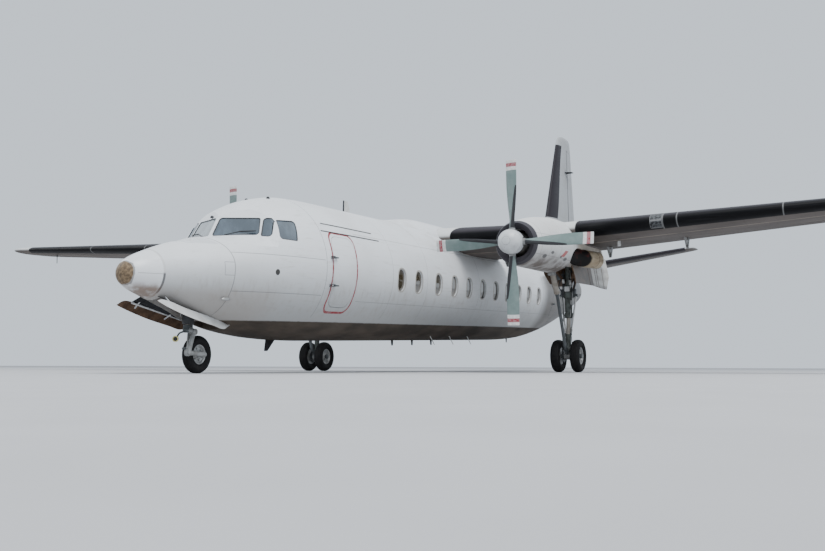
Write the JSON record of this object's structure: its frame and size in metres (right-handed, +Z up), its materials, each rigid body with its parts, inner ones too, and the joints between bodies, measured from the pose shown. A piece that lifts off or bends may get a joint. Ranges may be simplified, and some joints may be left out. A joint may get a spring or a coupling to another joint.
{
  "type": "turboprop airliner",
  "caption": "Twin turboprop high-wing airliner parked on a levered nose gear and tall nacelle-mounted main gear, with turning propellers, wheels and hinged control surfaces.",
  "frame": {"origin": "on the ground below the middle of the length and span, at the base of the tyres", "axes": "+X towards the nose, +Y to port along the span, +Z up"},
  "size_m": [25.0605, 29, 8.654],
  "materials": {
    "white_paint": "weathered gloss",
    "white_composite": "weathered gloss",
    "grey_paint": "satin",
    "cockpit_glass": "polished",
    "bare_metal": "satin",
    "gear_steel": "satin",
    "sooty_steel": "sooty",
    "propeller_paint": "satin",
    "tyre_rubber": "matte",
    "boot_rubber": "satin",
    "dark_interior": "matte",
    "engine_steel": "satin"
  },
  "bodies": {
    "airframe": {"fuselage": "white_paint", "rear_fuselage": "white_composite", "radome": "white_composite", "windscreen_port": "cockpit_glass", "windscreen_starboard": "cockpit_glass", "side_window_1_port": "cockpit_glass", "side_window_1_starboard": "cockpit_glass", "side_window_2_port": "cockpit_glass", "side_window_2_starboard": "cockpit_glass", "fin": "white_composite", "tailplane_port": "white_composite", "tailplane_starboard": "white_composite", "wing_centre": "grey_paint", "wing_port": "grey_paint", "wing_starboard": "grey_paint", "nacelle_port": "white_paint", "nacelle_starboard": "white_paint", "engine_port": "engine_steel", "engine_starboard": "engine_steel", "exhaust_port": "sooty_steel", "exhaust_starboard": "sooty_steel", "main_leg_port": "gear_steel", "main_leg_starboard": "gear_steel", "main_door_outer_port": "grey_paint", "main_door_outer_starboard": "grey_paint", "main_door_inner_port": "grey_paint", "main_door_inner_starboard": "grey_paint", "nose_leg": "gear_steel", "nose_door_port": "white_paint", "nose_door_starboard": "white_paint"},
    "propeller_port": {"propeller_port": "propeller_paint", "spinner_port": "grey_paint"},
    "propeller_starboard": {"propeller_starboard": "propeller_paint", "spinner_starboard": "grey_paint"},
    "wheels_port": {"main_tyre_outer_port": "tyre_rubber", "main_tyre_inner_port": "tyre_rubber", "main_rim_outer_port": "bare_metal", "main_rim_inner_port": "bare_metal"},
    "wheels_starboard": {"main_tyre_outer_starboard": "tyre_rubber", "main_tyre_inner_starboard": "tyre_rubber", "main_rim_outer_starboard": "bare_metal", "main_rim_inner_starboard": "bare_metal"},
    "nose_fork": {"nose_fork": "gear_steel"},
    "nose_wheel": {"nose_rim": "bare_metal", "nose_tyre": "tyre_rubber"},
    "door_front_port": {"door_front_port": "white_paint"},
    "door_rear_port": {"door_rear_port": "white_paint"},
    "door_rear_starboard": {"door_rear_starboard": "white_paint"},
    "rudder": {"rudder": "white_composite"},
    "elevator_port": {"elevator_port": "white_composite"},
    "elevator_starboard": {"elevator_starboard": "white_composite"},
    "aileron_port": {"aileron_port": "grey_paint"},
    "aileron_starboard": {"aileron_starboard": "grey_paint"},
    "flap_outer_port": {"flap_outer_port": "grey_paint"},
    "flap_outer_starboard": {"flap_outer_starboard": "grey_paint"},
    "flap_inner_port": {"flap_inner_port": "grey_paint"},
    "flap_inner_starboard": {"flap_inner_starboard": "grey_paint"}
  },
  "joints": [
    {"name": "propeller_port_spin", "type": "hinge", "parent": "airframe", "child": "propeller_port", "pos_m": [4.78974, 3.6, 2.75005], "axis": [0.9996, 0, -0.0279], "continuous": true},
    {"name": "propeller_starboard_spin", "type": "hinge", "parent": "airframe", "child": "propeller_starboard", "pos_m": [4.78974, -3.6, 2.75005], "axis": [0.9996, 0, -0.0279], "continuous": true},
    {"name": "wheels_port_roll", "type": "hinge", "parent": "airframe", "child": "wheels_port", "pos_m": [0.88, 3.6, 0.398], "axis": [0, 1, 0], "continuous": true},
    {"name": "wheels_starboard_roll", "type": "hinge", "parent": "airframe", "child": "wheels_starboard", "pos_m": [0.88, -3.6, 0.398], "axis": [0, 1, 0], "continuous": true},
    {"name": "nose_steering", "type": "hinge", "parent": "airframe", "child": "nose_fork", "pos_m": [10.87, 0, 0.8], "axis": [0, 0, 1], "range_deg": [-60, 60]},
    {"name": "nose_wheel_roll", "type": "hinge", "parent": "nose_fork", "child": "nose_wheel", "pos_m": [10.62, 0, 0.3245], "axis": [0, 1, 0], "continuous": true},
    {"name": "door_front_port_hinge", "type": "hinge", "parent": "airframe", "child": "door_front_port", "pos_m": [8.33709, 1.36876, 1.9967], "axis": [-0.0279, 0, -0.9996], "range_deg": [0, 110]},
    {"name": "door_rear_port_hinge", "type": "hinge", "parent": "airframe", "child": "door_rear_port", "pos_m": [-5.13765, 1.33182, 2.37309], "axis": [-0.0279, 0, -0.9996], "range_deg": [0, 110]},
    {"name": "door_rear_starboard_hinge", "type": "hinge", "parent": "airframe", "child": "door_rear_starboard", "pos_m": [-5.20763, -1.32706, 2.37504], "axis": [0.0279, 0, 0.9996], "range_deg": [0, 110]},
    {"name": "rudder_hinge", "type": "hinge", "parent": "airframe", "child": "rudder", "pos_m": [-10.81998, 0, 3.82231], "axis": [0.0214, 0, 0.9998], "range_deg": [-25, 25]},
    {"name": "elevator_port_hinge", "type": "hinge", "parent": "airframe", "child": "elevator_port", "pos_m": [-10.03523, 0.7, 3.57843], "axis": [-0.0023, -0.9901, -0.1402], "range_deg": [-25, 15]},
    {"name": "elevator_starboard_hinge", "type": "hinge", "parent": "airframe", "child": "elevator_starboard", "pos_m": [-10.03523, -0.7, 3.57843], "axis": [0.0023, -0.9901, 0.1402], "range_deg": [-25, 15]},
    {"name": "aileron_port_hinge", "type": "hinge", "parent": "airframe", "child": "aileron_port", "pos_m": [0.52071, 9.06, 3.48943], "axis": [-0.0697, -0.9963, -0.0506], "range_deg": [-20, 20]},
    {"name": "aileron_starboard_hinge", "type": "hinge", "parent": "airframe", "child": "aileron_starboard", "pos_m": [0.52071, -9.06, 3.48943], "axis": [0.0697, -0.9963, 0.0506], "range_deg": [-20, 20]},
    {"name": "flap_outer_port_hinge", "type": "hinge", "parent": "airframe", "child": "flap_outer_port", "pos_m": [0.22806, 4.5, 2.87584], "axis": [-0.067, -0.9958, -0.0626], "range_deg": [0, 40]},
    {"name": "flap_outer_starboard_hinge", "type": "hinge", "parent": "airframe", "child": "flap_outer_starboard", "pos_m": [0.22806, -4.5, 2.87584], "axis": [0.067, -0.9958, 0.0626], "range_deg": [0, 40]},
    {"name": "flap_inner_port_hinge", "type": "hinge", "parent": "airframe", "child": "flap_inner_port", "pos_m": [0.04368, 1.72, 2.78006], "axis": [-0.0657, -0.9976, -0.0207], "range_deg": [0, 40]},
    {"name": "flap_inner_starboard_hinge", "type": "hinge", "parent": "airframe", "child": "flap_inner_starboard", "pos_m": [0.04368, -1.72, 2.78006], "axis": [0.0657, -0.9976, 0.0207], "range_deg": [0, 40]}
  ],
  "couplings": [
    {"joint": "elevator_starboard_hinge", "follows": "elevator_port_hinge", "ratio": 1},
    {"joint": "aileron_starboard_hinge", "follows": "aileron_port_hinge", "ratio": -1},
    {"joint": "flap_outer_starboard_hinge", "follows": "flap_outer_port_hinge", "ratio": 1},
    {"joint": "flap_inner_port_hinge", "follows": "flap_outer_port_hinge", "ratio": 1},
    {"joint": "flap_inner_starboard_hinge", "follows": "flap_outer_port_hinge", "ratio": 1}
  ]
}
